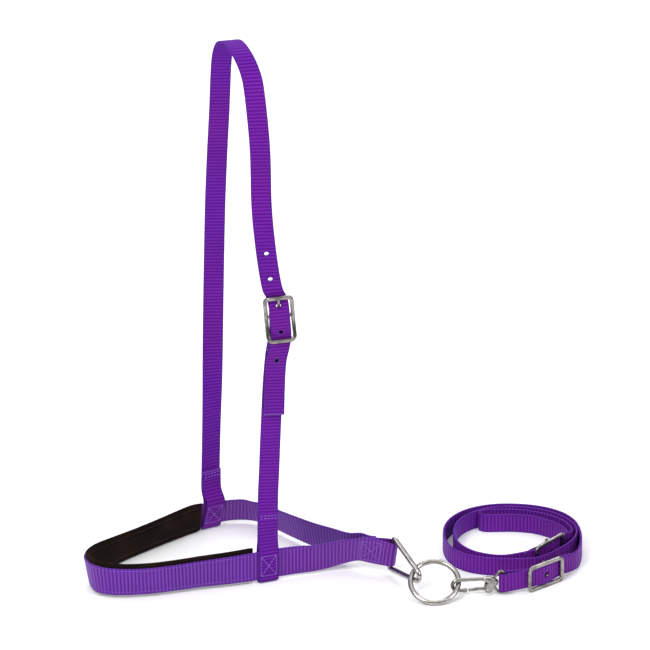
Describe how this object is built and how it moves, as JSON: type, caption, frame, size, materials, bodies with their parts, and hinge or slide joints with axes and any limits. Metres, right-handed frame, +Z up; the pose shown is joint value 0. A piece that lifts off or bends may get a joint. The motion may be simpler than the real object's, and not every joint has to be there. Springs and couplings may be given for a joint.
{
  "type": "horse tie-down noseband",
  "caption": "Webbing noseband with a padded lining, buckled headstall, link and ring, and an adjustable tie-down strap coiled beside it on a snap hook.",
  "frame": {"origin": "centre of the bounding box's lower face, on the surface that the part stands on", "axes": "+X from the nose end of the noseband towards the ring and the tie-down strap, +Y from the near cheek strap towards the far one, +Z up the headstall"},
  "size_m": [0.386, 0.1308, 0.4514],
  "materials": {
    "webbing": "ribbed nylon webbing, slight sheen",
    "neoprene": "matt closed-cell foam",
    "thread": "matching nylon thread",
    "plated_metal": "nickel plated, lightly worn"
  },
  "bodies": {
    "halter": {"noseband_webbing": "webbing", "noseband_liner": "neoprene", "near_cheek_strap": "webbing", "crown_strap": "webbing", "cheek_buckle_frame": "plated_metal", "cheek_buckle_tongue": "plated_metal", "near_junction_stitching": "thread", "far_junction_stitching": "thread", "tab_stitching": "thread", "buckle_fold_stitching": "thread"},
    "link": {"triangle_link": "plated_metal"},
    "ring": {"noseband_ring": "plated_metal"},
    "snap": {"snap_hook_body": "plated_metal", "snap_gate_pin": "plated_metal"},
    "gate": {"snap_gate": "plated_metal"},
    "tie_down": {"tie_down_webbing": "webbing", "snap_end_buckle": "plated_metal", "loop_end_buckle": "plated_metal"}
  },
  "joints": [
    {"name": "link_swing", "type": "hinge", "parent": "halter", "child": "link", "pos_m": [0.0453, -0.0156, 0.019], "axis": [0.12, -0.09, 0.9887], "range_deg": [-35, 60]},
    {"name": "ring_swing", "type": "hinge", "parent": "link", "child": "ring", "pos_m": [0.0622, -0.03882, 0.01517], "axis": [-0.4772, -0.7723, -0.4193], "range_deg": [-15, 15]},
    {"name": "snap_swing", "type": "hinge", "parent": "ring", "child": "snap", "pos_m": [0.09682, -0.04915, 0.00957], "axis": [0.1564, 0.868, 0.4713], "range_deg": [-25, 25]},
    {"name": "gate_open", "type": "hinge", "parent": "snap", "child": "gate", "pos_m": [0.11967, -0.0465, 0.00526], "axis": [-0.115, 0.9934, 0], "range_deg": [0, 14], "stiffness_Nm_per_rad": 0.05, "springref_deg": -17.19},
    {"name": "strap_swing", "type": "hinge", "parent": "snap", "child": "tie_down", "pos_m": [0.13189, -0.04509, 0.0105], "axis": [0, 0, 1], "range_deg": [-30, 6]}
  ]
}
